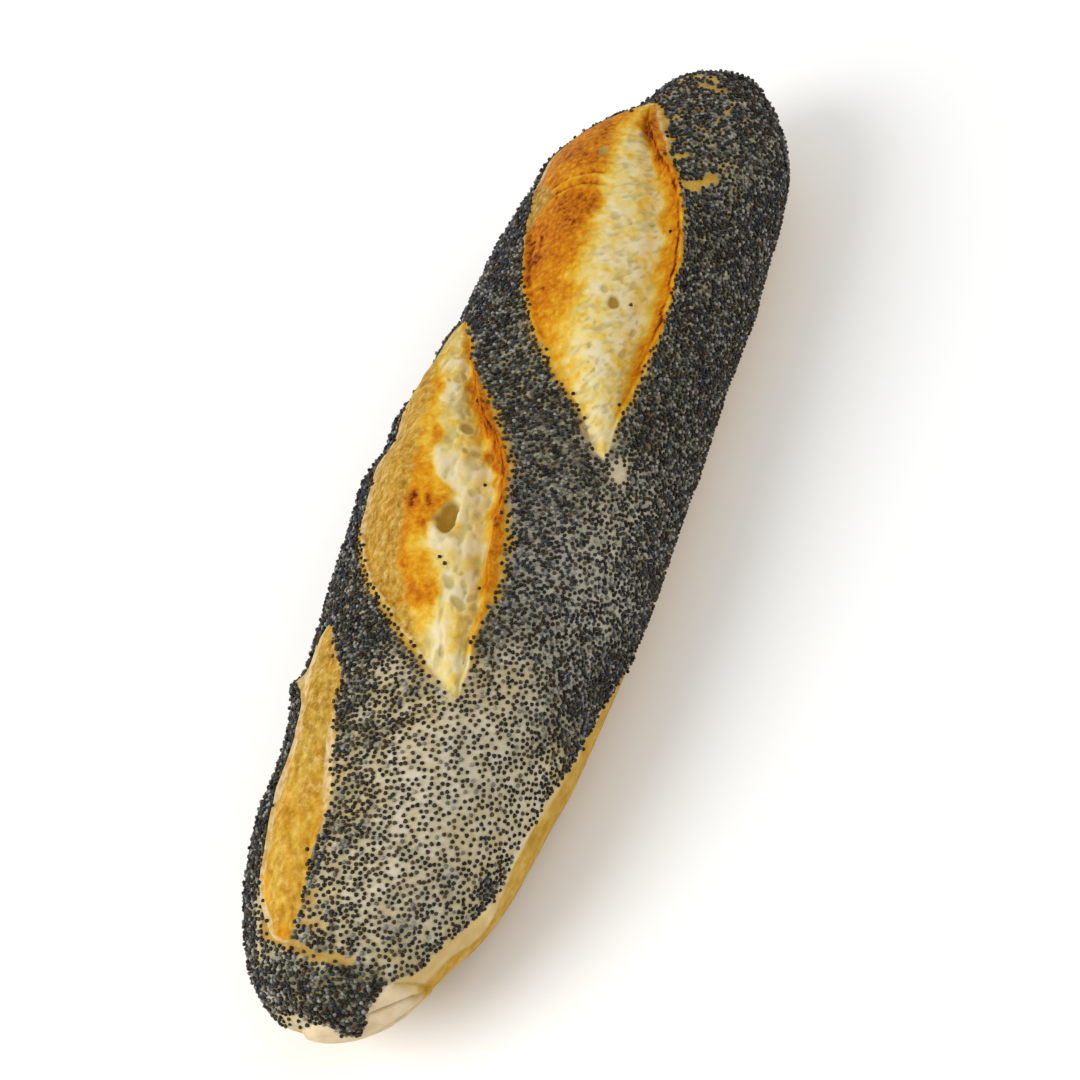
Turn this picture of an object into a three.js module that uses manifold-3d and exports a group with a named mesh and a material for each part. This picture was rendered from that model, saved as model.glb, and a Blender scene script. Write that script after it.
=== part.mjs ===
// A short poppy-seed baguette: one baked loaf with three slanting scores whose crumb has risen
// between a low left edge and a lifted ear on the right, and poppy seeds baked on to its crust.
// Millimetres, +Z up, +X along the loaf, the origin under its middle on the surface it rests on.

import * as THREE from "three";
import { mergeVertices } from "three/addons/utils/BufferGeometryUtils.js";
import Module from "manifold-3d";

// The loaf
const halfLength = 150;
const height = 58;
const widestHeight = 25; // where the sides stand out furthest
const baseCut = 1.5; // how far the round underside would reach below the tray
const endFullness = 2.8; // the higher, the blunter the ends
const undersideFullness = 3.5; // the underside keeps its depth nearer to the ends
const topSquareness = 2.1; // 2 is a plain ellipse
const undersideSquareness = 2.9;

// Across the loaf at places along it: [along, half width, shift of the middle towards +Y]
const stations = [
  [-150, 43.5, -2.3],
  [-110, 40.5, -3.3],
  [-60, 39.5, -2.8],
  [0, 41.5, 0.2],
  [60, 38, -0.3],
  [110, 42, -1.8],
  [150, 34.5, -9.3],
];

// A place on the crust is [along the loaf, round it], both in millimetres. Round the loaf is
// counted from the ridge towards +Y, as if the whole top were an arc of this radius.
const roundRadius = 38;

// The three cuts, from the end nearest -X. A side's fullest place is a share of the cut's length.
const scores = [
  {
    name: "near",
    start: [-135, 6],
    end: [-55, 28],
    left: { width: 10, fullest: 0.3, sharpness: 0.6 },
    right: { width: 10.5, fullest: 0.5, sharpness: 0.7 },
    bulge: 1.5,
    valley: 1.5,
    ear: 1.6,
  },
  {
    name: "middle",
    start: [-70, -17],
    end: [40, 26],
    left: { width: 26, fullest: 0.55, sharpness: 0.8 },
    right: { width: 14.5, fullest: 0.52, sharpness: 0.9 },
    bulge: 4,
    valley: 3.2,
    ear: 3.4,
  },
  {
    name: "far",
    start: [4, -29],
    end: [123, 9],
    left: { width: 29, fullest: 0.74, sharpness: 1 },
    right: { width: 20, fullest: 0.54, sharpness: 1.1 },
    bulge: 4.6,
    valley: 3.4,
    ear: 3.8,
  },
];

// Across a score, from -1 at its right side to 1 at its left
const bulgePlace = { middle: 0.3, halfWidth: 0.75 };
const valleyPlace = { middle: -0.68, halfWidth: 0.4 };
const tipRelief = 0.65; // the power of a half sine along a score: lower keeps more relief near its tips
const crumbDepth = 5; // how far the crumb reaches into the loaf under its edges
const openingWidth = 0.97; // the blade's opening as a share of the crumb's width
const openingDrop = 0.4; // how far the opening's floor lies under the crumb's top

// The ear's cross-section: [towards the crumb in millimetres, share of the ear's height]
const earSection = [
  [-6, -0.5],
  [-3.2, 0.25],
  [-0.9, 0.8],
  [1.1, 1],
  [1, 0.72],
  [-0.4, 0.2],
  [-0.8, -0.7],
];
const earTipSink = 0.6; // how far the ear's ends go under the crust

// The seeds
const seedSize = [1.15, 0.95, 0.9]; // a poppy seed's length, width and thickness
const seedSink = 0.1; // how far its middle lies under the crust
const seedCount = 145;
const seedReach = 66; // how far round from the ridge the seeds were pressed on
const bareSide = { end: -48, reach: 54 }; // towards -X from here, less of the -Y side was pressed
const seedMargin = { left: 1.5, right: 7 }; // clear of a score's left side, and of its ear
const seedDraws = 24; // draws for each seed, of which the one furthest from the others is kept

// The facets
const rowCount = 48;
const topColumns = 22;
const undersideColumns = 8;
const topReach = THREE.MathUtils.degToRad(104); // how far from the ridge the fine columns go
const scoreSteps = 22;
const crumbSteps = 10;

const crust = new THREE.MeshStandardMaterial({
  name: "baked crust with poppy seeds",
  color: 0x5a5546,
  roughness: 0.85,
  metalness: 0,
});

// A repeatable draw between 0 and 1
function makeRandom(seed) {
  let state = seed;
  return () => {
    state = (Math.imul(state, 1664525) + 1013904223) >>> 0;
    return state / 4294967296;
  };
}

// The value of one column of the stations at a place along the loaf, on a smooth curve.
function alongStations(along, column) {
  const last = stations.length - 1;
  const slope = (k) => {
    const before = stations[Math.max(k - 1, 0)];
    const after = stations[Math.min(k + 1, last)];
    return (after[column] - before[column]) / (after[0] - before[0]);
  };
  let k = 0;
  while (k < last - 1 && along > stations[k + 1][0]) k += 1;
  const step = stations[k + 1][0] - stations[k][0];
  const t = THREE.MathUtils.clamp((along - stations[k][0]) / step, 0, 1);
  return (
    (2 * t ** 3 - 3 * t ** 2 + 1) * stations[k][column] +
    (t ** 3 - 2 * t ** 2 + t) * step * slope(k) +
    (3 * t ** 2 - 2 * t ** 3) * stations[k + 1][column] +
    (t ** 3 - t ** 2) * step * slope(k + 1)
  );
}

function signedPower(value, power) {
  return Math.sign(value) * Math.abs(value) ** power;
}

// The smooth loaf without its scores. The angle is counted from the ridge towards +Y.
function smoothPoint(along, angle) {
  const share = Math.min(Math.abs(along) / halfLength, 1);
  const ends = Math.sqrt(1 - share ** endFullness);
  const undersideEnds = Math.sqrt(1 - share ** undersideFullness);
  const halfWidth = alongStations(along, 1) * ends;
  const side = signedPower(Math.sin(angle), 2 / topSquareness);
  const y = alongStations(along, 2) + halfWidth * side;
  const up = Math.cos(angle);
  if (up >= 0) {
    const rise = (height - widestHeight) * ends * up ** (2 / topSquareness);
    return new THREE.Vector3(along, y, widestHeight + rise);
  }
  const depth = (widestHeight + baseCut) * undersideEnds;
  const drop = depth * Math.abs(up) ** (2 / undersideSquareness);
  return new THREE.Vector3(along, y, Math.max(widestHeight - drop, 0));
}

// The crust's outward direction, from two short steps along it.
function outward(along, angle) {
  const inside = halfLength * 0.995;
  const x = THREE.MathUtils.clamp(along, -inside, inside);
  const stepAlong = 0.3;
  const stepAngle = 0.01;
  const forward = smoothPoint(x + stepAlong, angle).sub(smoothPoint(x - stepAlong, angle));
  const sideways = smoothPoint(x, angle + stepAngle).sub(smoothPoint(x, angle - stepAngle));
  return forward.cross(sideways).normalize();
}

// A score's own frame: its length, and the direction of its long axis on the crust.
function scoreAxis(score) {
  const run = new THREE.Vector2(...score.end).sub(new THREE.Vector2(...score.start));
  return { length: run.length(), direction: run.clone().normalize() };
}

// How far a side of a score reaches from its long axis, at a share of its length.
function reachAt(side, share) {
  if (share <= 0 || share >= 1) return 0;
  const rising = side.sharpness;
  const falling = (side.sharpness * (1 - side.fullest)) / side.fullest;
  const shape = (t) => t ** rising * (1 - t) ** falling;
  return (side.width * shape(share)) / shape(side.fullest);
}

// The place on the crust at a share of a score's length and a distance from its long axis,
// + on the left.
function placeOnCrust(score, share, offset) {
  const { length, direction } = scoreAxis(score);
  const along = score.start[0] + share * length * direction.x - offset * direction.y;
  const round = score.start[1] + share * length * direction.y + offset * direction.x;
  return { along, angle: round / roundRadius };
}

// Whether a place on the crust lies in a score, or within a margin of its sides.
function isInScore(score, along, round, margin) {
  const { length, direction } = scoreAxis(score);
  const x = along - score.start[0];
  const y = round - score.start[1];
  const share = (x * direction.x + y * direction.y) / length;
  const offset = y * direction.x - x * direction.y;
  if (share < -0.02 || share > 1.02) return false;
  const left = reachAt(score.left, share) + margin.left;
  const right = reachAt(score.right, share) + margin.right;
  return offset < left && offset > -right;
}

// A smooth hump from 0 to 1 to 0 round a middle.
function hump(value, place) {
  const t = (value - place.middle) / place.halfWidth;
  return Math.abs(t) < 1 ? Math.cos((t * Math.PI) / 2) ** 2 : 0;
}

// The crumb's height over the smooth loaf, from -1 at a score's right side to 1 at its left.
function crumbRise(score, across) {
  return score.bulge * hump(across, bulgePlace) - score.valley * hump(across, valleyPlace);
}

// A closed surface of rows of points, each row a loop, with a fan to a tip at either end.
function closedRows(rows, firstTip, lastTip) {
  const count = rows[0].length;
  const points = [firstTip, ...rows.flat(), lastTip];
  const faces = [];
  const at = (row, column) => 1 + row * count + (column % count);
  for (let column = 0; column < count; column += 1) {
    faces.push(0, at(0, column), at(0, column + 1));
    faces.push(points.length - 1, at(rows.length - 1, column + 1), at(rows.length - 1, column));
    for (let row = 0; row < rows.length - 1; row += 1) {
      faces.push(at(row, column), at(row + 1, column), at(row, column + 1));
      faces.push(at(row + 1, column), at(row + 1, column + 1), at(row, column + 1));
    }
  }
  const geometry = new THREE.BufferGeometry().setFromPoints(points);
  geometry.setIndex(faces);
  return geometry;
}

// Column angles round the loaf, close together over the top and wider apart underneath.
function columnAngles() {
  const angles = [];
  for (let k = 0; k < topColumns; k += 1) {
    angles.push(-topReach + (2 * topReach * k) / topColumns);
  }
  for (let k = 0; k < undersideColumns; k += 1) {
    angles.push(topReach + ((2 * Math.PI - 2 * topReach) * k) / undersideColumns);
  }
  return angles;
}

function makeBody() {
  const angles = columnAngles();
  const rows = [];
  for (let row = 1; row < rowCount; row += 1) {
    const along = -halfLength * Math.cos((Math.PI * row) / rowCount);
    rows.push(angles.map((angle) => smoothPoint(along, angle)));
  }
  return closedRows(rows, smoothPoint(-halfLength, 0), smoothPoint(halfLength, 0));
}

// A solid laid along a score: at each step, one point for each [offset, height] of a section.
function alongScore(score, sectionAt) {
  const rows = [];
  for (let step = 1; step < scoreSteps; step += 1) {
    const share = step / scoreSteps;
    const strength = Math.sin(Math.PI * share) ** tipRelief;
    rows.push(
      sectionAt(share, strength).map(([offset, rise]) => {
        const { along, angle } = placeOnCrust(score, share, offset);
        return smoothPoint(along, angle).addScaledVector(outward(along, angle), rise);
      }),
    );
  }
  const tip = (share) => {
    const { along, angle } = placeOnCrust(score, share, 0);
    return smoothPoint(along, angle).addScaledVector(outward(along, angle), -1);
  };
  return closedRows(rows, tip(0), tip(1));
}

// A section of the crumb between a score's sides: its top raised by a lift, then its other face.
function crumbLayer(score, lift, depth, share, strength, width) {
  const top = [];
  for (let step = 0; step <= crumbSteps; step += 1) {
    const across = (2 * step) / crumbSteps - 1;
    const side = across < 0 ? score.right : score.left;
    top.push([across * reachAt(side, share) * width, crumbRise(score, across) * strength + lift]);
  }
  const [right, left] = [top[0][0], top[crumbSteps][0]];
  return [...top, [left, depth], [right, depth]];
}

function makeCrumb(score) {
  return alongScore(score, (share, strength) =>
    crumbLayer(score, 0, -crumbDepth, share, strength, 1),
  );
}

// What the blade opened: everything over the crumb, a little narrower and deeper than it.
function makeOpening(score) {
  return alongScore(score, (share, strength) =>
    crumbLayer(score, -openingDrop, crumbDepth, share, strength, openingWidth).reverse(),
  );
}

// The lifted lip of crust along a score's right side.
function makeEar(score) {
  return alongScore(score, (share, strength) => {
    const edge = -reachAt(score.right, share);
    return earSection.map(([inward, lift]) => [
      edge + inward * strength,
      lift * score.ear * strength - earTipSink * (1 - strength),
    ]);
  });
}

// Whether poppy seeds were pressed on to the crust here.
function isSeeded(along, round) {
  const reach = round < 0 && along < bareSide.end ? bareSide.reach : seedReach;
  if (Math.abs(round) > reach) return false;
  return scores.every((score) => !isInScore(score, along, round, seedMargin));
}

// Places for the seeds: of several random draws, each seed takes the one furthest from the rest.
function seedPlaces() {
  const random = makeRandom(20451);
  const places = [];
  while (places.length < seedCount) {
    let best = null;
    for (let draw = 0; draw < seedDraws; draw += 1) {
      const along = (random() * 2 - 1) * halfLength * 0.985;
      const round = (random() * 2 - 1) * seedReach;
      if (!isSeeded(along, round)) continue;
      const point = smoothPoint(along, round / roundRadius);
      const gap = places.reduce((least, place) => Math.min(least, place.point.distanceTo(point)), Infinity);
      if (!best || gap > best.gap) best = { along, round, point, gap, turn: random() * Math.PI };
    }
    if (best) places.push(best);
  }
  return places;
}

function makeSeed(place) {
  const geometry = new THREE.IcosahedronGeometry(0.5, 0);
  geometry.scale(...seedSize);
  geometry.rotateZ(place.turn);
  const up = outward(place.along, place.round / roundRadius);
  geometry.applyQuaternion(new THREE.Quaternion().setFromUnitVectors(new THREE.Vector3(0, 0, 1), up));
  const middle = place.point.clone().addScaledVector(up, -seedSink);
  return geometry.translate(middle.x, middle.y, middle.z);
}

const manifold = await Module();
manifold.setup();

function toSolid(geometry) {
  const bare = geometry.clone();
  bare.deleteAttribute("normal");
  bare.deleteAttribute("uv");
  const merged = mergeVertices(bare, 1e-4);
  const mesh = new manifold.Mesh({
    numProp: 3,
    vertProperties: new Float32Array(merged.attributes.position.array),
    triVerts: new Uint32Array(merged.index.array),
  });
  return new manifold.Manifold(mesh);
}

function toGeometry(solid) {
  const mesh = solid.getMesh();
  const geometry = new THREE.BufferGeometry();
  geometry.setAttribute("position", new THREE.BufferAttribute(new Float32Array(mesh.vertProperties), 3));
  geometry.setIndex(new THREE.BufferAttribute(new Uint32Array(mesh.triVerts), 1));
  geometry.computeVertexNormals();
  return geometry;
}

// The outer body alone: a hollow sealed by the fusing is filled, and a loose scrap is dropped.
function outerBody(solid) {
  return solid.decompose().reduce((largest, body) => (body.volume() > largest.volume() ? body : largest));
}

function makeLoaf() {
  let solid = toSolid(makeBody());
  for (const score of scores) solid = solid.subtract(toSolid(makeOpening(score)));
  const toppings = [...scores.map(makeCrumb), ...scores.map(makeEar), ...seedPlaces().map(makeSeed)];
  solid = manifold.Manifold.union([solid, ...toppings.map(toSolid)]);
  const loaf = new THREE.Mesh(toGeometry(outerBody(solid)), crust);
  loaf.name = "loaf";
  return loaf;
}

const baguette = new THREE.Group();
baguette.add(makeLoaf());

export default baguette;
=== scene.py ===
import math

import bpy
import numpy as np
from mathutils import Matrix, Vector


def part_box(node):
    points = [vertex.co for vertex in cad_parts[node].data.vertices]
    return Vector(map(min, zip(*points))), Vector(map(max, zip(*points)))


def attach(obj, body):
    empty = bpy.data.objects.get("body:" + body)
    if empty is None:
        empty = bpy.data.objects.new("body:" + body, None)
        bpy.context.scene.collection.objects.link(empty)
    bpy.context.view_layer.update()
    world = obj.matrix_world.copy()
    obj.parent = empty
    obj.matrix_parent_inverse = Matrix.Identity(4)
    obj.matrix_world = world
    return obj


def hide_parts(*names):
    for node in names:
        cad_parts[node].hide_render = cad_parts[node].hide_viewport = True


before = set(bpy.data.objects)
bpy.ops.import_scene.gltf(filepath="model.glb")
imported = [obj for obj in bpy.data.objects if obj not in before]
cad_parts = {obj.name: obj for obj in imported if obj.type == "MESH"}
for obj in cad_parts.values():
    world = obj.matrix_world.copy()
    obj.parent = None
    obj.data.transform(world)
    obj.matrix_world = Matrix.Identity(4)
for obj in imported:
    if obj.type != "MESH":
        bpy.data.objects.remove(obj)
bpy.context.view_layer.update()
mm = 0.001  # everything is worked out in millimetres and made in metres
loafLow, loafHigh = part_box("loaf")
print("frame loaded, loaf", [round(side / mm, 1) for side in loafHigh - loafLow], "mm")


def ease(low, high, value):
    share = np.clip((value - low) / (high - low), 0, 1)
    return share * share * (3 - 2 * share)


def bell(value, middle, width):
    return np.exp(-(((value - middle) / width) ** 2))


# A smooth curve through (place, value) pairs; a plain number is the same at every place.
def curve(pairs, place):
    if not isinstance(pairs, list):
        return pairs + 0 * place
    places, values = np.array(pairs, float).T
    slopes = np.empty(len(values))
    slopes[1:-1] = (values[2:] - values[:-2]) / (places[2:] - places[:-2])
    slopes[0] = (values[1] - values[0]) / (places[1] - places[0])
    slopes[-1] = (values[-1] - values[-2]) / (places[-1] - places[-2])
    part = np.searchsorted(places[1:-1], place)
    step = places[part + 1] - places[part]
    t = np.clip((place - places[part]) / step, 0, 1)
    ends = (2 * t**3 - 3 * t**2 + 1) * values[part] + (3 * t**2 - 2 * t**3) * values[part + 1]
    bends = (t**3 - 2 * t**2 + t) * slopes[part] + (t**3 - t**2) * slopes[part + 1]
    return ends + bends * step


# Smooth noise from -1 to 1, whose humps are a cell apart. Large primes stir each corner into its own value.
def waves(points, cell, seed):
    place = points / np.asarray(cell, float) + seed * 17.31
    corner = np.floor(place).astype(np.int64)
    part = place - corner
    part = part * part * (3 - 2 * part)
    total = np.zeros(points.shape[:-1])
    for step in range(8):
        offset = np.array([step & 1, step >> 1 & 1, step >> 2])
        key = (corner + offset) @ np.array([73856093, 19349663, 83492791]) + seed * 40503
        key = (key ^ (key >> 13)) * 1274126177 & 0xFFFFFFFF
        key = (key ^ (key >> 15)) * 668265263 & 0xFFFFFFFF
        weight = np.prod(np.where(offset == 1, part, 1 - part), axis=-1)
        total += weight * ((key >> 8 & 0xFFFF) / 32767.5 - 1)
    return total


def unit(vectors):
    return vectors / np.maximum(np.linalg.norm(vectors, axis=-1, keepdims=True), 1e-9)


# Two directions, or two lengths, turned within their plane.
def turnedBy(angle, first, second):
    return first * np.cos(angle) + second * np.sin(angle), second * np.cos(angle) - first * np.sin(angle)


# Noise of several sizes added up, each given as (cell, height).
def octaves(points, sizes, seed):
    total = 0
    for number, (cell, height) in enumerate(sizes):
        total = total + height * waves(points, cell, seed + number)
    return total


# Places on the crust as points of a flat sheet, for the noise.
def flat(along, around):
    return np.stack([along, around, 0 * along], -1)


# A soft spot: 1 at its middle, fading with its radii along and around.
def spot(along, around, middle, turn, wide, high):
    return bell(np.hypot((along - middle) / wide, (around - turn) / high), 0, 1)


def hexColour(text):
    parts = [int(text[at:at + 2], 16) / 255 for at in (1, 3, 5)]
    return [part / 12.92 if part <= 0.04045 else ((part + 0.055) / 1.055) ** 2.4 for part in parts] + [1]


# One node, new or found by its name, with its settings, values, links as {socket: (node, output)} and colour
# stops.
def addNode(owner, kind, settings=None, values=None, links=None, stops=()):
    nodes = owner.node_tree.nodes
    node = nodes.get(kind) or nodes.new(kind)
    for name, value in (settings or {}).items():
        setattr(node, name, value)
    for socket, value in (values or {}).items():
        node.inputs[socket].default_value = value
    for socket, (source, output) in (links or {}).items():
        owner.node_tree.links.new(source.outputs[output], node.inputs[socket])
    for number, (place, colour) in enumerate(stops):
        elements = node.color_ramp.elements
        element = elements[number] if number < 2 else elements.new(place)
        element.position = place
        element.color = hexColour(colour)
    return node


# The loaf's form in millimetres, the same as the solid's. A pair is (place along the loaf, value).
loafForm = dict(
    halfLength=(loafHigh.x - loafLow.x) / 2 / mm,
    height=58,
    widestHeight=25,
    baseCut=1.5,
    endFullness=2.8,
    undersideFullness=3.5,
    topSquareness=2.1,
    undersideSquareness=2.9,
    halfWidths=[(-150, 43.5), (-110, 40.5), (-60, 39.5), (0, 41.5), (60, 38), (110, 42), (150, 34.5)],
    shifts=[(-150, -2.3), (-110, -3.3), (-60, -2.8), (0, 0.2), (60, -0.3), (110, -1.8), (150, -9.3)],
    roundRadius=38,
    # how far the dough swells or sinks along its +Y side and its -Y side
    leftSwell=[(-150, 0.2), (-135, -0.2), (-105, -0.1), (-96, -1.3), (-80, -1.8), (-72, -0.3), (-64, -1.2),
        (-45, -0.7), (-24, -0.6), (-15, -0.1), (-8, 0.4), (1, -1.6), (13, -0.3), (25, -2.4), (35, -1.1),
        (43, -1.8), (65, 0), (85, -0.2), (95, -0.3), (103, 1.1), (118, -0.6), (130, -1.8), (139, 1.1),
        (150, 0.1)],
    rightSwell=[(-150, 1.3), (-140, 1.4), (-125, -0.3), (-114, 0.7), (-100, 0.5), (-83, 0), (-71, 0.6),
        (-50, 0), (-22, 0), (5, -0.9), (30, -0.1), (72, 0.2), (97, -0.9), (113, 0.2), (126, 1.4),
        (136, 0.3), (143, -0.5), (150, -1.4)],
    # how far round the loaf the +Y swells are fullest
    swellRound=[(-150, 54), (-100, 44), (0, 42), (60, 39), (100, 36), (120, 29), (140, 19), (150, 12)],
    swellOctaves=[(24, 0.35), (9, 0.2), (3.2, 0.07)],  # cell and height of the dough's own waves
    lumps=[(-71, 39, 2.2, 4.5, 1.9), (123, 20, 3.5, 7, -1.6)],  # place, round, radii and rise
)


def smoothPoint(along, angle):
    form = loafForm
    share = np.minimum(np.abs(along) / form["halfLength"], 1)
    ends = np.sqrt(1 - share ** form["endFullness"])
    undersideEnds = np.sqrt(1 - share ** form["undersideFullness"])
    side = np.sign(np.sin(angle)) * np.abs(np.sin(angle)) ** (2 / form["topSquareness"])
    y = curve(form["shifts"], along) + curve(form["halfWidths"], along) * ends * side
    up = np.cos(angle)
    rise = (form["height"] - form["widestHeight"]) * ends * np.maximum(up, 0) ** (2 / form["topSquareness"])
    depth = (form["widestHeight"] + form["baseCut"]) * undersideEnds
    drop = depth * np.maximum(-up, 0) ** (2 / form["undersideSquareness"])
    z = np.where(up >= 0, form["widestHeight"] + rise, np.maximum(form["widestHeight"] - drop, 0))
    return np.stack([along + 0 * angle, y, z], -1)


def outward(along, angle):
    inside = loafForm["halfLength"] * 0.995  # the slope runs off to nothing at the very tips
    x = np.clip(along, -inside, inside)
    forward = smoothPoint(x + 0.3, angle) - smoothPoint(x - 0.3, angle)
    sideways = smoothPoint(x, angle + 0.01) - smoothPoint(x, angle - 0.01)
    return unit(np.cross(forward, sideways))


# The folded seam under the end nearest -X: creases as (place, round) to (place, round), in millimetres.
foldForm = dict(
    # start, end, depth and the rise of the dough beside it
    creases=[((-142, -50), (-130, -67), 1.3, 0.7), ((-148, -71), (-132, -66), 1.1, 0.6), ((-135, -46),
        (-128, -76), 0.9, 0.4), ((-136.4, 16), (-137.2, -20), 0.6, -0.4)],
    halfWidth=0.65, lipWidth=3.5, lineWidth=0.5,
)


def distanceTo(start, end, along, around):
    start, run = np.array(start, float), np.subtract(end, start)
    share = np.clip(((along - start[0]) * run[0] + (around - start[1]) * run[1]) / (run @ run), 0, 1)
    side = (along - start[0]) * run[1] - (around - start[1]) * run[0]
    gap = np.hypot(along - start[0] - share * run[0], around - start[1] - share * run[1])
    return gap, np.sign(side), share


# How far the dough stands over the smooth form: its swells, its waves and the fold's creases.
def doughRise(points, along, around):
    fullest = curve(loafForm["swellRound"], along)
    left = ease(0.45, 0.95, around / fullest) * ease(105, 70, around)
    right = ease(-20, -52, around) * ease(-112, -88, around)
    rise = curve(loafForm["leftSwell"], along) * left
    rise = rise + curve(loafForm["rightSwell"], along) * right
    for *where, height in loafForm["lumps"]:
        rise = rise + height * spot(along, around, *where)
    rise = rise + octaves(points, loafForm["swellOctaves"], 3)
    for start, end, depth, lip in foldForm["creases"]:
        gap, side, share = distanceTo(start, end, along, around)
        fade = np.sin(np.pi * np.clip(share * 0.8 + 0.2, 0, 1)) ** 0.5
        rise = rise - depth * fade * bell(gap, 0, foldForm["halfWidth"])
        lifted = abs(lip) * (side * lip > 0) * ease(0.2, 1, gap) * bell(gap, 0, foldForm["lipWidth"])
        rise = rise + fade * lifted
    return rise * ease(0, 4, points[..., 2])


# The scores in millimetres, by how near they are to the -X end. A pair is (share of the length, value).
# start, end: its axis, by places along and around; left, right: how far the cut reaches from the axis
# bulge, valley, ear, lean: the crumb's rise, the dip beside the ear, the ear's height and its lean
# paleTop, paleBottom: the band that opened last and stayed pale; heatWidth: how soon it is toasted beyond
# flank: how far bare dough goes on past the ear's crest; fray: how raggedly the seeds end along the edges
# strands: the turn of the crumb's strands; strays: the share of the seeds that fell on it
scoreForms = dict(
    near=dict(
        start=(-135, 6), end=(-55, 28), bulge=0.9, valley=0.5, ear=0.4, lean=0.2, seed=11,
        left=[(0, 2.5), (0.03, 9), (0.08, 13), (0.13, 15.5), (0.2, 16.5), (0.27, 15), (0.38, 12.8),
            (0.47, 11.5), (0.53, 9.2), (0.6, 7.4), (0.7, 6.8), (0.78, 8.5), (0.86, 12), (0.94, 12),
            (0.985, 7), (1, 3)],
        right=[(0, 0), (0.09, 2.8), (0.24, 5.8), (0.31, 8.4), (0.4, 10), (0.5, 9.8), (0.6, 9), (0.7, 8.4),
            (0.78, 8.6), (0.85, 5.8), (0.93, 2.6), (1, 0)],
        paleTop=0, paleBottom=0, heatWidth=3, flank=0, strands=0.3, strays=0.0009, fray=0.8,
    ),
    middle=dict(
        start=(-70, -17), end=(40, 26), bulge=4, valley=3.2, ear=3.2, lean=1, seed=12,
        left=[(0, 1.2), (0.05, 6), (0.1, 9), (0.2, 15.4), (0.3, 21), (0.4, 24.8), (0.5, 25.8), (0.6, 24),
            (0.7, 20), (0.8, 17.5), (0.88, 15.5), (0.95, 11), (0.985, 6), (1, 1)],
        right=[(0, 0), (0.1, 3.7), (0.2, 6.9), (0.3, 9.6), (0.4, 12.4), (0.5, 14.4), (0.6, 13.6),
            (0.7, 10.5), (0.8, 8.4), (0.9, 5.2), (1, 0)],
        paleTop=[(0, 6), (0.1, 6.5), (0.2, 3), (0.3, 2.8), (0.38, 2.2), (0.46, -1.8), (0.55, -0.2),
            (0.62, -0.6), (0.7, -2), (0.85, 0.6), (1, 0)],
        paleBottom=[(0, -1), (0.1, -3), (0.2, -5.5), (0.3, -7), (0.4, -8.6), (0.5, -10), (0.6, -8.6),
            (0.7, -5.8), (0.85, -3.2), (1, 0)],
        heatWidth=[(0, 8), (0.15, 6), (0.25, 2.5), (1, 2.5)],
        flank=[(0, 0), (0.15, 0.3), (0.21, 1.6), (0.3, 2.4), (0.36, 2), (0.42, 0.5), (0.5, 0.2),
            (0.62, 0.3), (0.67, 1.2), (0.71, 1.3), (0.76, 0.2), (1, 0)],
        strands=-0.25, strays=0.003, fray=[(0, 3), (0.5, 3), (0.8, 0.8), (1, 0.8)],
    ),
    far=dict(
        start=(4, -29), end=(123, 9), bulge=4.6, valley=3.4, ear=3.6, lean=1.1, seed=13,
        left=[(0, 0), (0.02, 2.8), (0.1, 6.4), (0.2, 12.5), (0.3, 17.7), (0.4, 21.6), (0.5, 24), (0.6, 26),
            (0.74, 29.5), (0.82, 33), (0.9, 32), (0.96, 25), (0.985, 13), (1, 0)],
        right=[(0, 0), (0.1, 3.8), (0.2, 9.3), (0.3, 13.8), (0.4, 17), (0.5, 18.5), (0.6, 18), (0.7, 15.5),
            (0.8, 10), (0.9, 5), (0.97, 1.6), (1, 0)],
        paleTop=[(0, 3), (0.1, 5), (0.2, 7), (0.3, 4.5), (0.4, 2.5), (0.5, 2), (0.56, 1.6), (0.62, 1.2),
            (0.7, 0.4), (0.76, -0.8), (0.84, -2.8), (0.92, -4.4), (1, -3)],
        paleBottom=[(0, -1), (0.1, -2), (0.2, -5.5), (0.3, -9), (0.4, -11.4), (0.5, -12), (0.6, -11.8),
            (0.7, -10.4), (0.8, -5.6), (0.9, -1.6), (1, 0)],
        heatWidth=[(0, 3), (0.2, 8), (0.3, 12), (0.4, 11), (0.5, 8.5), (0.57, 6.5), (0.65, 5), (0.7, 7),
            (0.8, 10), (1, 11)],
        flank=[(0, 0), (0.5, 0.2), (0.68, 0.2), (0.78, 1.8), (0.84, 3), (0.92, 3.8), (0.97, 2.4), (1, 0)],
        strands=-0.85, strays=0.0005, fray=[(0, 3), (0.25, 3), (0.42, 1.2), (1, 0.8)],
    ),
)
crumbForm = dict(
    # middles and half widths as shares of the reach on that side
    bulgeMiddle=0.3, bulgeHalfWidth=0.75, valleyMiddle=-0.68, valleyHalfWidth=0.4, valleyGrows=0.25,
    tipRelief=0.65,  # below 1 the relief stays full further towards the score's tips
    earInnerShare=0.5,  # the ear's inner slope as a share of the score's right reach
    earOuterWidth=6, earGrows=(0.02, 0.17), earWobble=[(9, 0.2), (2.6, 0.16)],
    # the crease inside the ear, and the rim and the dip along the left edge: height, place and half width
    crease=(0.5, 1.3, 0.45), rim=(0.55, 0, 0.6), dip=(0.35, 1.7, 0.7),
    edgeWobble=[(7, 0.55), (2.6, 0.3)],
    # how far a score's own mesh goes past its edges and its ends
    leftMargin=3, rightMargin=8, firstShare=-0.03, lastShare=1.03,
    seat=1.3, bedding=5,  # how far the crust sinks under a score's mesh, and under its crumb
)


def scoreAxis(score):
    run = np.subtract(score["end"], score["start"])
    length = float(np.hypot(*run))
    return length, run / length


def placeOnCrust(score, share, offset):
    length, run = scoreAxis(score)
    along = score["start"][0] + share * length * run[0] - offset * run[1]
    around = score["start"][1] + share * length * run[1] + offset * run[0]
    return along, around


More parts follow.
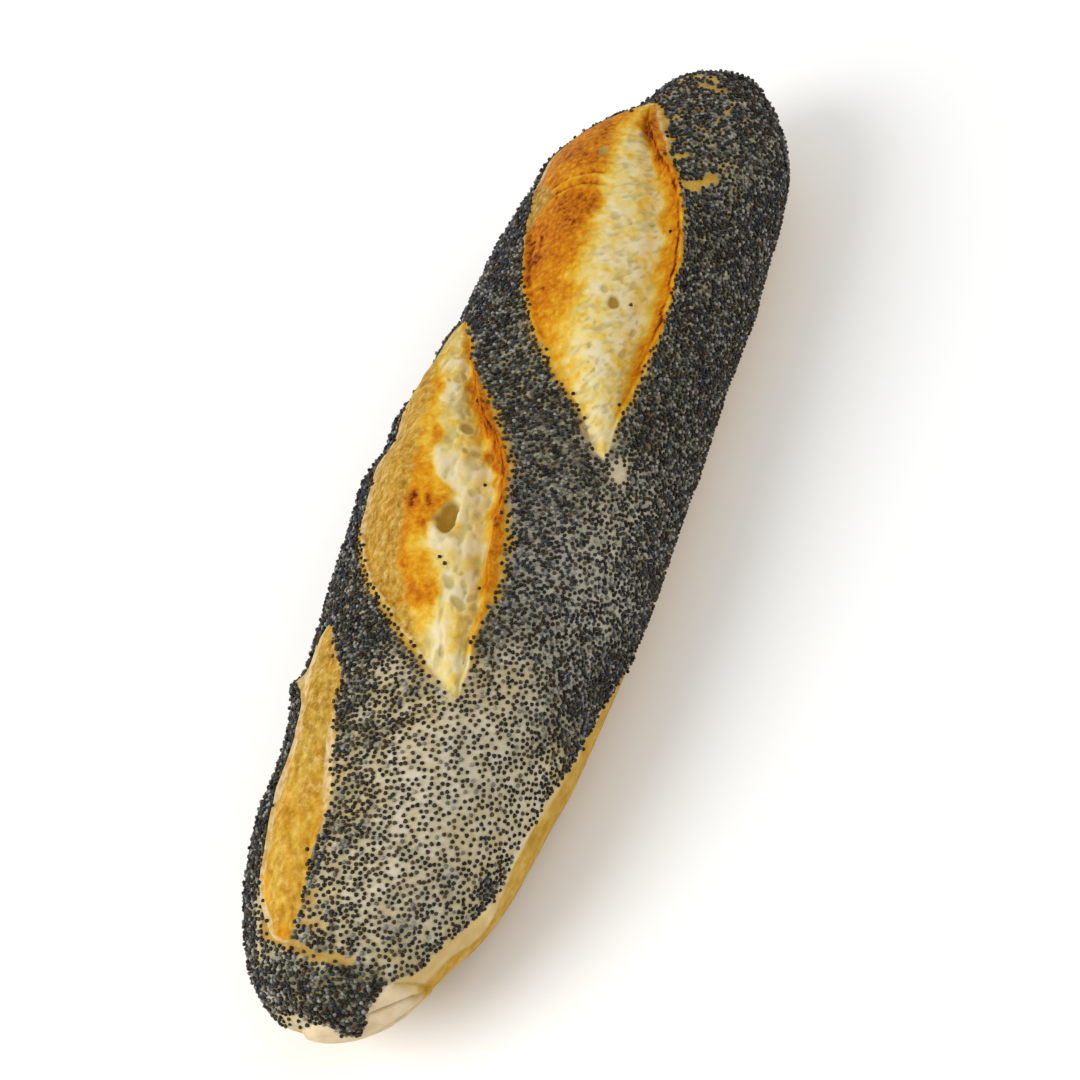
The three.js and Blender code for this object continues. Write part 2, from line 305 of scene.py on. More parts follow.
def placeInScore(score, along, around):
    length, run = scoreAxis(score)
    x, y = along - score["start"][0], around - score["start"][1]
    return (x * run[0] + y * run[1]) / length, y * run[0] - x * run[1]


# A score's ragged edges at a share of its length: how far they reach to the left and to the right.
def raggedEdges(score, share):
    length = scoreAxis(score)[0]
    inside = np.clip(share, 0, 1)
    reaches = []
    for side, edge in enumerate(("left", "right")):
        reach = np.maximum(curve(score[edge], inside), 0)
        place = flat(share * length, 0 * share)
        for octave, (cell, height) in enumerate(crumbForm["edgeWobble"]):
            wobble = height * waves(place, cell, score["seed"] * 7 + side * 3 + octave)
            reach = reach + wobble * ease(0.3, 4, reach)
        reaches.append(np.where((share > 0) & (share < 1), np.maximum(reach, 0), 0))
    return reaches


def hump(value, middle, halfWidth):
    share = (value - middle) / halfWidth
    return np.where(np.abs(share) < 1, np.cos(np.clip(share, -1, 1) * np.pi / 2) ** 2, 0)


# How full a score's relief is along its length.
def strengthOf(share):
    return np.sin(np.pi * np.clip(share, 0, 1)) ** crumbForm["tipRelief"]


def widestReach(score, side):
    return max(reach for _, reach in score[side])


def swelling(form, value):
    height, middle, halfWidth = form
    return height * bell(value, middle, halfWidth)


# The score's own relief: its rise, its lean towards the crumb, and where each place lies in the cut.
def scoreShape(score, share, offset):
    form = crumbForm
    left, right = raggedEdges(score, share)
    across = offset / np.maximum(np.where(offset >= 0, left, right), 0.01)
    fromLeft, fromEar = left - offset, offset + right
    strength = strengthOf(share)
    crumb = score["bulge"] * hump(across, form["bulgeMiddle"], form["bulgeHalfWidth"])
    valley = score["valley"] * ease(0, form["valleyGrows"], share)
    crumb = crumb - valley * hump(across, form["valleyMiddle"], form["valleyHalfWidth"])
    innerWidth = form["earInnerShare"] * widestReach(score, "right") * np.maximum(strength, 0.3)
    inner = np.clip(1 - fromEar / innerWidth, 0, 1) ** 2
    outer = np.clip(1 + fromEar / form["earOuterWidth"], 0, 1) ** 2
    lift = 1 + octaves(flat(share * scoreAxis(score)[0], 0 * share), form["earWobble"], score["seed"])
    ear = score["ear"] * ease(*form["earGrows"], share) * lift * np.where(fromEar >= 0, inner, outer)
    ear = ear - swelling(form["crease"], fromEar) * (score["ear"] > 1)
    rim = swelling(form["rim"], fromLeft) - swelling(form["dip"], fromLeft)
    rise = strength * (np.where(np.abs(across) < 1, crumb, 0) + ear + rim)
    lean = score["lean"] * strength * np.where(fromEar >= 0, bell(fromEar, 0, 1.6), outer)
    return rise, lean, across, strength, fromLeft, fromEar


# Holes in the crumb and small pores: (share, offset, length, width, turn, depth)
poreForm = dict(
    middle=[(0.39, 0.8, 7, 4.7, -0.35, 2.4), (0.408, -0.2, 9.4, 3.4, -0.4, 2),
        (0.64, -5.3, 4, 2.8, -0.1, 0.62), (0.577, -5, 2.4, 1.8, 0, 0.6), (0.2, -0.6, 5, 3, 0.6, 0.5),
        (0.25, 1.2, 4.8, 3, 0.2, 0.45), (0.17, -2.6, 3, 2, 0.3, 0.4), (0.12, -0.5, 3, 2.4, 0.3, 0.3)],
    far=[(0.36, -0.9, 5.4, 4, -0.6, 0.8), (0.79, 5, 4.6, 3, 0.1, 0.6), (0.585, 0, 4, 2.6, 0, 0.4),
        (0.42, -6, 3.6, 2, -0.5, 0.4), (0.25, -4, 4, 2, -0.7, 0.5), (0.31, -7, 3.6, 1.8, -0.6, 0.5),
        (0.69, -7.5, 3.8, 2.2, 0.6, 0.4), (0.645, -9.5, 3.4, 2, 0.4, 0.4), (0.47, -4.6, 2.8, 1.6, 0, 0.35),
        (0.385, 1.6, 3, 2.4, 0.2, 0.45)],
    near=[],
    count=dict(near=0, middle=60, far=110),
    between=(0.06, 0.9), size=(1.2, 3.4), slim=(0.3, 0.6), depth=(0.2, 0.45),
    ragged=[(1.3, 0.16), (2.6, 0.2)],
)


def poresOf(name):
    score, form = scoreForms[name], poreForm
    length = scoreAxis(score)[0]
    random = np.random.default_rng(score["seed"])
    pores = list(form[name])
    for _ in range(form["count"][name]):
        share = random.uniform(*form["between"])
        low, high = curve(score["paleBottom"], share), curve(score["paleTop"], share)
        offset = low + (high - low) * random.beta(1.3, 1.6)
        long = random.uniform(*form["size"])
        wide = long * random.uniform(*form["slim"])
        turn = score["strands"] + random.normal(0, 0.3)
        pores.append((share, offset, long, wide, turn, random.uniform(*form["depth"])))
    return [(share * length, offset, *rest) for share, offset, *rest in pores]


# How deep the holes and pores are at each place, and the painted shade in them.
def poreDepths(name, share, offset):
    x = share * scoreAxis(scoreForms[name])[0]
    depth, shade = np.zeros(x.shape), np.zeros(x.shape)
    ragged = octaves(flat(x, offset), poreForm["ragged"], 50)
    for place, side, long, wide, turn, deep in poresOf(name):
        dx, dy = x - place, offset - side
        near = (np.abs(dx) < long) & (np.abs(dy) < long)
        dx, dy = dx[near], dy[near]
        length, width = turnedBy(turn, dx, dy)
        spread = np.hypot(length / (long / 2), width / (wide / 2)) + ragged[near]
        depth[near] = np.maximum(depth[near], deep * (1 - ease(0.5, 1.05, spread)))
        # the side that the light reaches is paler
        dark = min(deep / 0.9, 1) * (0.84 + 0.16 * np.clip(2 * dy / wide, -1, 1))
        shade[near] = np.maximum(shade[near], dark * (1 - ease(0.6, 1.1, spread)))
    return depth, shade


# Browner marks on the crumb: (share, offset, half length, half width, strength)
scorchForm = dict(
    near=[(0.14, 13, 10, 1.6, 0.14), (0.02, 4, 3, 3, 0.12), (0.27, 12, 8, 1.4, 0.1),
        (0.18, 4, 2.5, 1, 0.1)],
    middle=[(0.22, 7.5, 4, 2.6, 0.14), (0.25, 9.5, 3, 1.2, 0.14), (0.37, 5, 3, 0.8, 0.2),
        (0.455, 7, 3.6, 2, 0.22), (0.45, 3.6, 3, 1, 0.2), (0.39, 5.4, 2.2, 1.5, 0.2),
        (0.44, 1, 2, 2.5, 0.1), (0.62, 0.8, 4, 1.2, 0.16), (0.76, 0.5, 4, 1.2, 0.16),
        (0.3, 10.5, 4, 1, 0.1), (0.5, -10.6, 2, 0.9, 0.2), (0.38, -11.4, 2.4, 0.9, 0.2)],
    far=[(0.5, 20, 3.4, 1.3, 0.2), (0.6, 10, 8, 5, 0.06), (0.675, 16, 3.2, 1.2, 0.26),
        (0.715, 18, 2, 1.2, 0.2), (0.4, 16, 2, 2, 0.14), (0.9, 9, 5, 3, 0.12), (0.545, 22.6, 4.5, 1, 0.16),
        (0.57, 19.5, 5, 0.8, 0.12), (0.83, 14, 4, 3, 0.1), (0.86, 20, 5, 2, 0.1), (0.47, 8, 5, 2, -0.08),
        (0.34, 12, 3, 3, 0.06), (0.79, 5, 3.4, 1.9, 0.16)],
)
# Arcs where the skin tore, bowed towards the start of the score: (share, depth) of the grooves.
tearForm = dict(
    score="far", grooves=[(0.681, 0.8), (0.717, 1), (0.752, 0.35)], bow=0.00009, middle=11,
    low=(1, 6), high=(23, 17),  # where the grooves begin and where they end, and where they are full
    depth=0.55, halfWidth=0.65, ridgeHeight=0.45, ridgeGap=2,
)


def tearRipples(share, offset):
    length = scoreAxis(scoreForms[tearForm["score"]])[0]
    window = ease(*tearForm["low"], offset) * ease(*tearForm["high"], offset)
    groove, lip = np.zeros(share.shape), np.zeros(share.shape)
    for place, depth in tearForm["grooves"]:
        away = (share - place + tearForm["bow"] * (offset - tearForm["middle"]) ** 2) * length
        groove = groove + depth * bell(away, 0, tearForm["halfWidth"])
        lip = lip + depth * bell(away, -tearForm["ridgeGap"], 1)
    return groove * window, lip * window


# Where the crust is bare, floury or seeded, by places along and around the loaf in millimetres.
coatForm = dict(
    rightReach=[(-150, -20), (-148, -35), (-146.8, -60), (-145.4, -66), (-144.3, -59), (-143, -50.5),
        (-141.5, -46.5), (-139.5, -44.5), (-136, -42.5), (-132, -49), (-125, -53), (-118, -55.5),
        (-107, -59), (-101, -58.5), (-93, -55), (-85, -58), (-70, -59), (-55, -61.5), (-42, -64),
        (-30, -68), (0, -71), (150, -71)],
    # under the seeds the crust stays pale as far as this, and is golden below
    goldReach=[(-150, -60), (-127, -60), (-113, -64), (-102, -60), (-91, -58.5), (-80, -59.5), (-66, -60),
        (-55, -62), (-42, -64), (150, -70)],
    leftReach=66,
    wobble=[(6, 1.3), (2.2, 0.8)],
    dense=0.9,  # seeds to the square millimetre where they lie side by side
    # golden patches with next to no seeds: place and round of both ends, half width and how bare
    bareStrips=[(92.5, -20.5, 98.5, -26, 2.1, 1), (103.5, -28.3, 104.5, -28.8, 0.9, 1),
        (107, -8.5, 109.5, -12, 0.8, 1), (101, -13.5, 103, -15.5, 0.9, 1), (115, -2.5, 117, -5, 1.2, 0.85),
        (127, 15, 130.5, 12, 1.1, 0.8), (130.5, 12, 135, 15.5, 1.3, 0.9), (135, 15.5, 139.5, 11, 1.6, 0.9),
        (139.5, 11, 140.2, 1.5, 1.9, 0.9), (140.2, 1.5, 137, -6, 1.5, 0.8), (134, -1, 133, -14, 1.6, 0.75),
        (121, -5, 123, -13, 1, 0.5), (119, -19, 130, -22, 1, 0.5), (114, -12, 116, -18, 0.8, 0.5),
        (-135, 14, -136.8, -8, 1.2, 0.75), (-136.8, -8, -135.5, -22, 1.1, 0.7),
        (-133.5, 22, -135, 8, 1.8, 0.85), (-128, 2.5, -124, 1.5, 1.2, 0.6), (-131, 3, -130, -6, 1, 0.6),
        (-97, 3, -93, 5, 0.8, 0.5), (8, 36.2, 31, 36.8, 2.4, 0.85), (-70, 38.6, -58, 37.6, 2, 0.8),
        (98, 36.4, 112, 32.4, 2, 0.85)],
    # where flour stayed thick: place, round and radius
    flecks=[(4, -34, 2.2), (-55, -26, 4), (-93, -15, 2.2), (-91, -9, 1.5), (-92, -56, 4), (-84, -56, 3),
        (-104, -18, 3), (-80, -52, 3)],
    # where the seeds lie thicker or, below 0, thinner: place, round, radii and by how much
    thicker=[(-116, 4, 13, 2.6, 0.3), (-82, 10, 16, 3, 0.3), (-62, 18, 14, 7, 0.3),
        (-109, -56, 6, 3.5, 0.35), (114, -21, 15, 9, -0.2), (128, 2, 9, 13, -0.2),
        (-138, 6, 2.5, 26, -0.3), (-150, 5, 1.7, 45, -1), (9, -26, 5, 6, -0.22), (3, -33.5, 3, 2.2, -0.4),
        (24, -4, 12, 3, -0.12), (-89, -54, 9, 4, -0.2), (-112, -9, 16, 8, 0.14), (-52, -37, 10, 14, -0.08),
        (-46, 23, 8, 5, -0.12), (-81, 3.5, 4, 4, 0.25), (-130, 27, 14, 3, -0.6), (-122, -38, 10, 14, 0.1),
        (-146, 58, 4, 10, -0.45), (-67, 4, 7, 5, -0.25), (-55, -26, 7, 6, -0.3), (-66, -44, 8, 6, 0.2),
        (-95, -30, 7, 6, -0.15), (-105, -51, 5, 5, 0.2), (-84, -14, 8, 6, -0.15), (-125, 37, 14, 3, -0.35),
        (4, -34, 3.4, 2.4, -0.6), (100, -31, 9, 7, -0.25), (-3, -36, 12, 9, -0.14), (136, 4, 5, 14, -0.2)],
    # where they lie further apart, and furthest: place, round, radii, and where that is full and gone
    apart=[(-101, -30, 46, 52, 0.74, 1.12), (-100, -31, 38, 28, 0.6, 1.2)],
    apartFrom=(-138.5, -133),
    dust=(-24, -38, 32, 24),  # the floury stretch between the sparse seeds and the thick ones
    thinner=(0.4, 0.16, 0.22),  # how much these three take off the coat
    # how patchy the coat is: cell, and height everywhere, where the seeds lie apart, and at the tips
    patchy=[(6, 0.06, 0.16, 0), (2.6, 0.1, 0.2, 0.24)],
    tips=((-136, -139, 0.5), (96, 116, 1)),  # where the tips begin and are full, and how much they count
    edge=(-0.6, 0.6),  # over how far the coat ends
    goldWobble=(7, 0.7), underneath=(69, 72.5), underneathWobble=(7, 1.6),  # and the golden crust begins
)


def seedReach(along, around):
    wobble = octaves(flat(along, around), coatForm["wobble"], 60)
    return curve(coatForm["rightReach"], along) + wobble, coatForm["leftReach"] + 2 * wobble


# How far the crust has gone golden below the seeds and underneath, where none were pressed on.
def bareSide(along, around):
    form, place = coatForm, flat(along, around)
    edge = curve(form["goldReach"], along) + octaves(place, [form["goldWobble"]], 66)
    reach = around + octaves(place, [form["underneathWobble"]], 67)
    return np.maximum(ease(0.6, -0.8, around - edge), ease(*form["underneath"], reach))


# Golden patches in among the seeds, from 0 to how bare each is.
def barePatches(along, around):
    place = flat(along, around)
    bare = np.zeros(along.shape)
    for *ends, radius, share in coatForm["bareStrips"]:
        start, end = ends[:2], ends[2:]
        near = np.hypot(along - start[0], around - start[1]) < radius + 3 + math.dist(start, end)
        gap = distanceTo(start, end, along[near], around[near])[0] + 0.8 * waves(place[near], 1.8, 84)
        gap = gap + 0.3 * radius * waves(place[near], 4.5, 85)
        bare[near] = np.maximum(bare[near], share * ease(radius + 0.5, radius - 0.5, gap))
    return bare


# How far the seeds thin out towards the end nearest -X, and where they lie furthest apart.
def apartness(along, around):
    shares = []
    for middle, turn, wide, high, full, gone in coatForm["apart"]:
        away = np.hypot((along - middle) / wide, (around - turn) / high)
        shares.append(ease(*coatForm["apartFrom"], along) * (1 - ease(full, gone, away)))
    return shares


# How thickly the crust is coated with seeds, from 0 for none to 1 for side by side.
def coatShare(along, around):
    form = coatForm
    low, high = seedReach(along, around)
    medium, sparse = apartness(along, around)
    lessApart, lessSparse, lessDusty = form["thinner"]
    share = 1 - lessApart * medium - lessSparse * sparse
    share = share * (1 - lessDusty * spot(along, around, *form["dust"]))
    for *where, lift in form["thicker"]:
        share = share + lift * spot(along, around, *where)
    tips = sum(much * ease(start, full, along) for start, full, much in form["tips"])
    for number, (cell, height, whereApart, atTips) in enumerate(form["patchy"]):
        patches = waves(flat(along, around), cell, 81 + number)
        share = share * (1 + (height + whereApart * medium + atTips * tips) * patches)
    return np.clip(share, 0, 1) * ease(*form["edge"], around - low) * ease(*form["edge"], high - around)


print("forms ready")


# A closed surface of rows of points, each row a loop, with a fan to a tip at either end.
def closedRows(name, rows, firstTip, lastTip, measures):
    rowCount, count = rows.shape[:2]
    points = np.concatenate([[firstTip], rows.reshape(-1, 3), [lastTip]])
    # the tips are rows too, and each square between two rows is two triangles, of which a tip needs one
    halves = []
    for start, corners in ((1, ((0, 0), (1, 0), (0, 1))), (0, ((1, 0), (1, 1), (0, 1)))):
        row, column = np.meshgrid(np.arange(start, start + rowCount), np.arange(count), indexing="ij")
        halves.append([(row + down, column + on) for down, on in corners])
    row, column = np.array(halves).transpose(2, 3, 4, 0, 1).reshape(2, -1, 3)
    index = np.clip(1 + (row - 1) * count + column % count, 0, len(points) - 1)
    spread = np.stack([row / (rowCount + 1), column / count], -1)
    whole = {}
    for measure, values in measures.items():
        whole[measure] = np.concatenate([[values[0].mean()], values.ravel(), [values[-1].mean()]])
    return meshFrom(name, points, index, spread, whole)


def addObject(name, data):
    thing = bpy.data.objects.new(name, data)
    bpy.context.scene.collection.objects.link(thing)
    return thing


# A mesh object from points in millimetres and triangles, with a layout for baking and its measures.
def meshFrom(name, points, triangles, spread=None, measures=None):
    mesh = bpy.data.meshes.new(name)
    mesh.vertices.add(len(points))
    mesh.vertices.foreach_set("co", (points * mm).astype(np.float32).ravel())
    mesh.loops.add(triangles.size)
    mesh.loops.foreach_set("vertex_index", triangles.astype(np.int32).ravel())
    mesh.polygons.add(len(triangles))
    mesh.polygons.foreach_set("loop_start", np.arange(0, triangles.size, 3, dtype=np.int32))
    mesh.update(calc_edges=True)
    mesh.shade_smooth()
    if spread is not None:
        mesh.uv_layers.new(name="OFBake").data.foreach_set("uv", spread.astype(np.float32).ravel())
    for measure, values in (measures or {}).items():
        mesh.attributes.new(measure, "FLOAT", "POINT").data.foreach_set("value", values.astype(np.float32))
    return addObject(name, mesh)


# Gives a piece its materials, and its place on the part.
def onLoaf(piece, materials):
    for material in materials:
        piece.data.materials.append(material)
    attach(piece, "root")
    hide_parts("loaf")
    print(piece.name, len(piece.data.polygons), "triangles")
    return piece


# How far inside a score's own mesh a place lies, in millimetres; below 0 outside it.
def insideScore(score, share, offset):
    length = scoreAxis(score)[0]
    left, right = raggedEdges(score, share)
    sides = np.minimum(left + crumbForm["leftMargin"] - offset, right + crumbForm["rightMargin"] + offset)
    ends = np.minimum(share - crumbForm["firstShare"], crumbForm["lastShare"] - share) * length
    return np.minimum(sides, ends)


# The outermost surface at places on the crust: its points and how far each leans from the smooth form.
def outerPoint(along, around):
    rise = np.zeros(along.shape)
    for score in scoreForms.values():
        share, offset = placeInScore(score, along, around)
        inside = insideScore(score, share, offset) > 0
        if not inside.any():
            continue
        scoreRise, lean = scoreShape(score, share[inside], offset[inside])[:2]
        run = scoreAxis(score)[1]
        along, around = along.copy(), around.copy()
        along[inside] -= lean * run[1]
        around[inside] += lean * run[0]
        rise[inside] = scoreRise
    angle = around / loafForm["roundRadius"]
    base = smoothPoint(along, angle)
    rise = rise + doughRise(base, along, around)
    return base + outward(along, angle) * rise[..., None]


# How strong the crust's colour measures are, and where they begin.
crustForm = dict(
    bareEdge=(1, -0.8),  # over how far the crust turns bare past the coat on the -Y side
    cream=0.9, creamHumps=(4, 0.2),
    foldFrom=(-131.5, -136), foldLean=(0.1, -60),  # the folded seam's line slants round the loaf
    # painted shade along the fold's creases: how golden they turn, and how much their cream dims
    creaseShadeGold=0.75, creaseShadeDim=0.7,
    # flour: where the seeds lie furthest apart, on the floury stretch, behind the middle and on the fold
    sparseFlour=0.55, dustFlour=0.8, backFlour=0.5, foldFlour=0.8, flourHumps=[(11, 0.35), (3, 0.2)],
    backAround=(5, 25), backAlong=(-40, 10),
    cleanFrom=(-101, -106), cleanShare=0.8,  # the bare side has less flour past here
    ringWidth=0.5, ringHumps=(3, 1),  # the golden rim round each score
)


# Colour measures of the crust: how golden, how pale, how floury and how thickly coated it is, with painted
# shade along the fold's creases.
def crustMeasures(along, around):
    form, place = crustForm, flat(along, around)
    bare = ease(*form["bareEdge"], around - seedReach(along, around)[0])
    lean, turn = form["foldLean"]
    fold = bare * ease(*form["foldFrom"], along + lean * (around - turn))
    # painted shade along the fold's creases: they turn golden and the cream dims there
    lines = np.zeros(along.shape)
    for start, end, depth, _ in foldForm["creases"]:
        gap = distanceTo(start, end, along, around)[0]
        lines = np.maximum(lines, min(depth, 1) * bell(gap, 0, foldForm["lineWidth"]))
    baked = bareSide(along, around)
    gold = np.maximum(baked, barePatches(along, around)) * (1 - fold)
    gold = np.maximum(gold, form["creaseShadeGold"] * lines * bare)
    cream = bare * (form["cream"] + octaves(place, [form["creamHumps"]], 71)) * (1 - baked)
    cream = np.maximum(cream, fold) * (1 - form["creaseShadeDim"] * lines)

    flour = form["sparseFlour"] * apartness(along, around)[1]
    flour = flour + form["dustFlour"] * spot(along, around, *coatForm["dust"])
    flour = flour + octaves(place, form["flourHumps"], 72)
    back = ease(*form["backAround"], around) * ease(*form["backAlong"], along)
    flour = flour + form["backFlour"] * back
    flour = flour * (1 - form["cleanShare"] * bare * ease(*form["cleanFrom"], along))
    flour = np.maximum(flour, form["foldFlour"] * fold)
    for x, turn, radius in coatForm["flecks"]:
        flour = np.maximum(flour, bell(np.hypot(along - x, around - turn), 0, radius))

    for score in scoreForms.values():
        share, offset = placeInScore(score, along, around)
        left, right = raggedEdges(score, share)
        flank, fray = (curve(score[key], np.clip(share, 0, 1)) for key in ("flank", "fray"))
        outside = np.maximum(offset - left - 0.6 * fray + 0.3, -offset - right - flank - 0.3 * fray)
        width = form["ringWidth"] + octaves(place, [form["ringHumps"]], 74)
        ring = ease(width + 1, width - 1, outside) * ease(0, 0.12, share) * (share < 1)
        gold = np.maximum(gold, ring)
    cream, flour = np.clip(cream, 0, 1), np.clip(flour, 0, 1)
    return dict(gold=gold, cream=cream, flour=flour, coat=coatShare(along, around))


# Rows along and columns round the loaf. The columns lie closer over its top, and the rows towards its ends.
crustMesh = dict(rows=420, columns=168, fineReach=104, fineColumns=146, evenShare=0.15)


def makeCrust(materials):
    form = crustMesh
    steps = np.linspace(-1, 1, form["rows"] + 2)[1:-1]
    along = form["evenShare"] * steps + (1 - form["evenShare"]) * np.sin(steps * np.pi / 2)
    along = along * loafForm["halfLength"]
    reach = math.radians(form["fineReach"])
    fine = np.linspace(-reach, reach, form["fineColumns"], endpoint=False)
    coarse = np.linspace(reach, 2 * np.pi - reach, form["columns"] - form["fineColumns"], endpoint=False)
    angles = np.concatenate([fine, coarse])
    along, angle = np.meshgrid(along, angles, indexing="ij")
    angle = (angle + np.pi) % (2 * np.pi) - np.pi
    around = angle * loafForm["roundRadius"]
    base = smoothPoint(along, angle)
    rise = doughRise(base, along, around)
    for score in scoreForms.values():
        share, offset = placeInScore(score, along, around)
        inside = insideScore(score, share, offset)
        rise = rise - crumbForm["seat"] * ease(1, 2.6, inside)
        rise = rise - crumbForm["bedding"] * ease(0, 4, inside - crumbForm["leftMargin"])
    points = base + outward(along, angle) * rise[..., None]
    points[..., 2] = np.maximum(points[..., 2], 0)
    tips = [smoothPoint(np.array(end * loafForm["halfLength"]), np.array(0.0)) for end in (-1, 1)]
    return onLoaf(closedRows("crust", points, *tips, crustMeasures(along, around)), materials)


scoreMesh = dict(
    rowStep=0.42, crumbStep=0.46, outerCount=17, earCount=17, rimCount=13,
    earHalfWidth=2, rimHalfWidth=2,  # the finely meshed strips along the edges
    bed=5.5,  # how deep its hidden face lies
    sunk=0.8,  # how far its outermost edge sinks into the crust
    # the crumb's relief: strands where it stayed pale, blisters where it has a skin, and broad humps
    strandCells=((4.5, 1.2), (2, 0.8)), strandHeights=(0.3, 0.2),
    blisters=((2.6, 0.36), (1.3, 0.2)), humps=(8, 0.4), drift=[(6, 1.7), (2.2, 0.6)],
)


def makeScore(name, materials):
    score, form = scoreForms[name], scoreMesh
    length, seed = scoreAxis(score)[0], score["seed"]
    first, last = crumbForm["firstShare"], crumbForm["lastShare"]
    shares = np.linspace(first, last, int(length * (last - first) / form["rowStep"]))
    left, right = raggedEdges(score, shares)
    half = (left + right + 1.2) / 2
    knots = np.stack([
        -right - crumbForm["rightMargin"],
        -right - form["earHalfWidth"],
        -right + np.minimum(form["earHalfWidth"], half * 0.5),
        left - np.minimum(form["rimHalfWidth"], half * 0.5) + 0.3,
        left + crumbForm["leftMargin"],
    ], -1)
    crumbCount = int((widestReach(score, "left") + widestReach(score, "right")) / form["crumbStep"])
    stops = np.cumsum([0, form["outerCount"], form["earCount"], crumbCount, form["rimCount"]])
    offset = np.stack([np.interp(np.arange(stops[-1] + 1), stops, knot) for knot in knots])
    share = np.repeat(shares[:, None], offset.shape[1], 1)

    rise, lean, across, strength, fromLeft, fromEar = scoreShape(score, share, offset)
    depth, poreShade = poreDepths(name, share, offset)
    inCrumb = ease(1.02, 0.9, across) * ease(-1.02, -0.93, across) * (share > 0) * (share < 1)
    place = flat(share * length, offset)
    drift = octaves(place, form["drift"], seed + 20)  # the pale band's boundaries wander
    above = offset - curve(score["paleTop"], share) + drift
    below = curve(score["paleBottom"], share) - offset + drift
    skin = ease(-0.6, 1.6, above)
    coarse, fine = crumbStrands(score, place)
    strands = form["strandHeights"][0] * coarse + form["strandHeights"][1] * fine
    (cell, height), (smallCell, smallHeight) = form["blisters"]
    blisters = height * np.abs(waves(place, cell, seed + 32))
    blisters = blisters + smallHeight * waves(place, smallCell, seed + 33)
    humps = octaves(place, [form["humps"]], seed + 34)
    relief = strength * (strands * (1 - skin) + blisters * skin + humps) - depth
    if name == tearForm["score"]:
        groove, ridge = tearRipples(share, offset)
        relief = relief + tearForm["ridgeHeight"] * ridge - tearForm["depth"] * groove
    rise = rise + inCrumb * relief - form["sunk"] * ease(1, 0, insideScore(score, share, offset))

    along, around = placeOnCrust(score, share, offset + lean)
    angle = around / loafForm["roundRadius"]
    base = smoothPoint(along, angle)
    direction = outward(along, angle)
    top = base + direction * (rise + doughRise(base, along, around))[..., None]
    # the hidden face: four columns deeper in, from the left side back to the right
    back = np.rint(np.array([1, 0.67, 0.33, 0]) * stops[-1]).astype(int)
    deep = base - direction * form["bed"]
    tips = (base - direction * form["bed"] * 0.5)[[0, -1], stops[2]]

    measures = scoreMeasures(name, share, offset, place, fromLeft, fromEar, above, below, poreShade)
    measures.update(crustMeasures(*placeOnCrust(score, share, offset)))
    for measure, values in measures.items():
        measures[measure] = np.concatenate([values, np.repeat(values[:, :1], len(back), 1)], 1)
    rows = np.concatenate([top, deep[:, back]], 1)
    return onLoaf(closedRows("score." + name, rows, *tips, measures), materials)


# Noise drawn out along the strands of a score's crumb.
def strandNoise(score, place, cells, seed):
    along, across = turnedBy(score["strands"], place[..., 0], place[..., 1])
    return waves(flat(along, across), [*cells, 1], score["seed"] + seed)


# Coarse strands and fine ones.
def crumbStrands(score, place):
    coarse, fine = scoreMesh["strandCells"]
    return strandNoise(score, place, coarse, 30), strandNoise(score, place, fine, 31)


# How toasted each score is: pairs of (share, value), where 0 is pale, 0.5 orange and 1 burnt.
toastForm = dict(
    heat=dict(
        near=[(0, 0.36), (0.15, 0.33), (0.4, 0.32), (1, 0.3)],
        middle=[(0, 0.24), (0.15, 0.29), (0.22, 0.42), (0.27, 0.41), (0.32, 0.37), (0.38, 0.4),
            (0.43, 0.47), (0.5, 0.38), (0.6, 0.34), (0.75, 0.33), (0.88, 0.24), (1, 0.16)],
        far=[(0, 0.38), (0.2, 0.43), (0.3, 0.48), (0.4, 0.52), (0.5, 0.59), (0.6, 0.63), (0.665, 0.6),
            (0.7, 0.5), (0.78, 0.56), (0.88, 0.56), (1, 0.38)],
    ),
    # how toasted the ear is, from its crest down to the pale crumb
    ear=dict(
        middle=[(0, 0.06), (0.07, 0.12), (0.13, 0.45), (0.3, 0.5), (0.42, 0.6), (0.8, 0.6), (0.9, 0.45),
            (1, 0.3)],
        far=[(0, 0.05), (0.07, 0.12), (0.14, 0.42), (0.35, 0.41), (0.6, 0.42), (0.75, 0.54), (0.9, 0.6),
            (1, 0.5)],
    ),
    burnt=dict(  # the brown line just inside the ear
        near=0.05,
        middle=[(0, 0), (0.1, 0.1), (0.3, 0.16), (0.42, 0.28), (0.6, 0.28), (0.7, 0.2), (0.8, 0.18),
            (0.9, 0.05), (1, 0)],
        far=[(0, 0), (0.12, 0.08), (0.24, 0.28), (0.33, 0.4), (0.6, 0.4), (0.7, 0.3), (0.85, 0.34),
            (0.95, 0.26), (1, 0)],
    ),
    # how wide the crumb is cream inside its left edge, and inside its right edge
    lips=dict(
        near=([(0, 0.8), (0.1, 2.6), (0.3, 2.2), (0.42, 3.4), (0.55, 4.4), (0.7, 3.4), (0.85, 7),
            (0.95, 8), (1, 2)], [(0, -1), (0.3, -0.6), (0.37, 2.4), (0.5, 3.2), (0.6, 2.2), (0.68, -0.6),
            (1, -1)]),
        middle=([(0, 0.2), (0.38, 0.3), (0.48, 1.4), (0.8, 1.6), (0.95, 1), (1, 0)], -9),
        far=([(0, -1), (0.74, -1), (0.8, 0.4), (0.9, 1.6), (1, 0)], -1.9),
    ),
    fan=dict(start=17.5, slope=100, share=0.69),  # the far score's tan skin, which fans out from its tears
    # the brown line's core and its soft side: strength, place and width
    lines=((1, 0.8, 0.4), (0.35, 1.8, 1)), lineWander=(4, 0.5),
    flankShare=0.7,  # how much of the ear's outer flank is toasted rather than golden
    lipShare=0.9,
    # where the middle score's tan skin begins, across it
    stripe=[(0, 9), (0.1, 8.5), (0.2, 11), (0.3, 11.6), (0.4, 9.5), (0.5, 6.5), (0.6, 5), (0.7, 3.5),
        (0.85, 1.5), (1, 0)],
)
